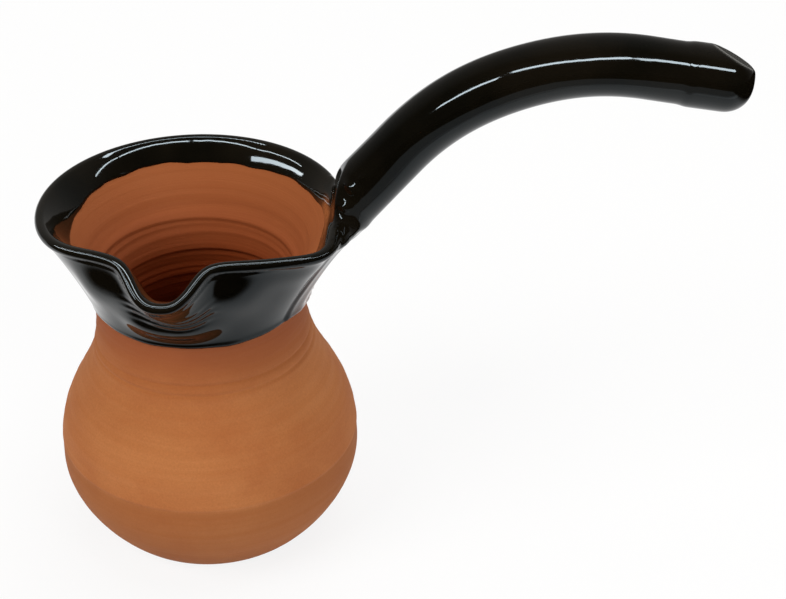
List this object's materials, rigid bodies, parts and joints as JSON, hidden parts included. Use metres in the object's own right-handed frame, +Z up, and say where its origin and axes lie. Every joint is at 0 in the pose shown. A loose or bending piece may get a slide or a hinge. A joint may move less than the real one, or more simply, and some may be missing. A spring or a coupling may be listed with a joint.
{
  "type": "clay coffee pot",
  "caption": "Round-bellied clay coffee pot with a flared collar, a pinched spout, and a coil handle rising from the lip under dark brown glaze.",
  "frame": {"origin": "centre of the foot, on the surface the pot stands on", "axes": "+Z up the throwing axis, +X along the handle, -Y towards the spout"},
  "size_m": [0.1772, 0.0807, 0.1414],
  "materials": {
    "clay": "matt",
    "coil_clay": "matt",
    "wad_clay": "matt",
    "glaze": "gloss"
  },
  "bodies": {
    "root": {"pot_body": "clay", "handle": "coil_clay", "handle_luting": "wad_clay", "collar_glaze": "glaze", "handle_glaze": "glaze"}
  },
  "joints": []
}
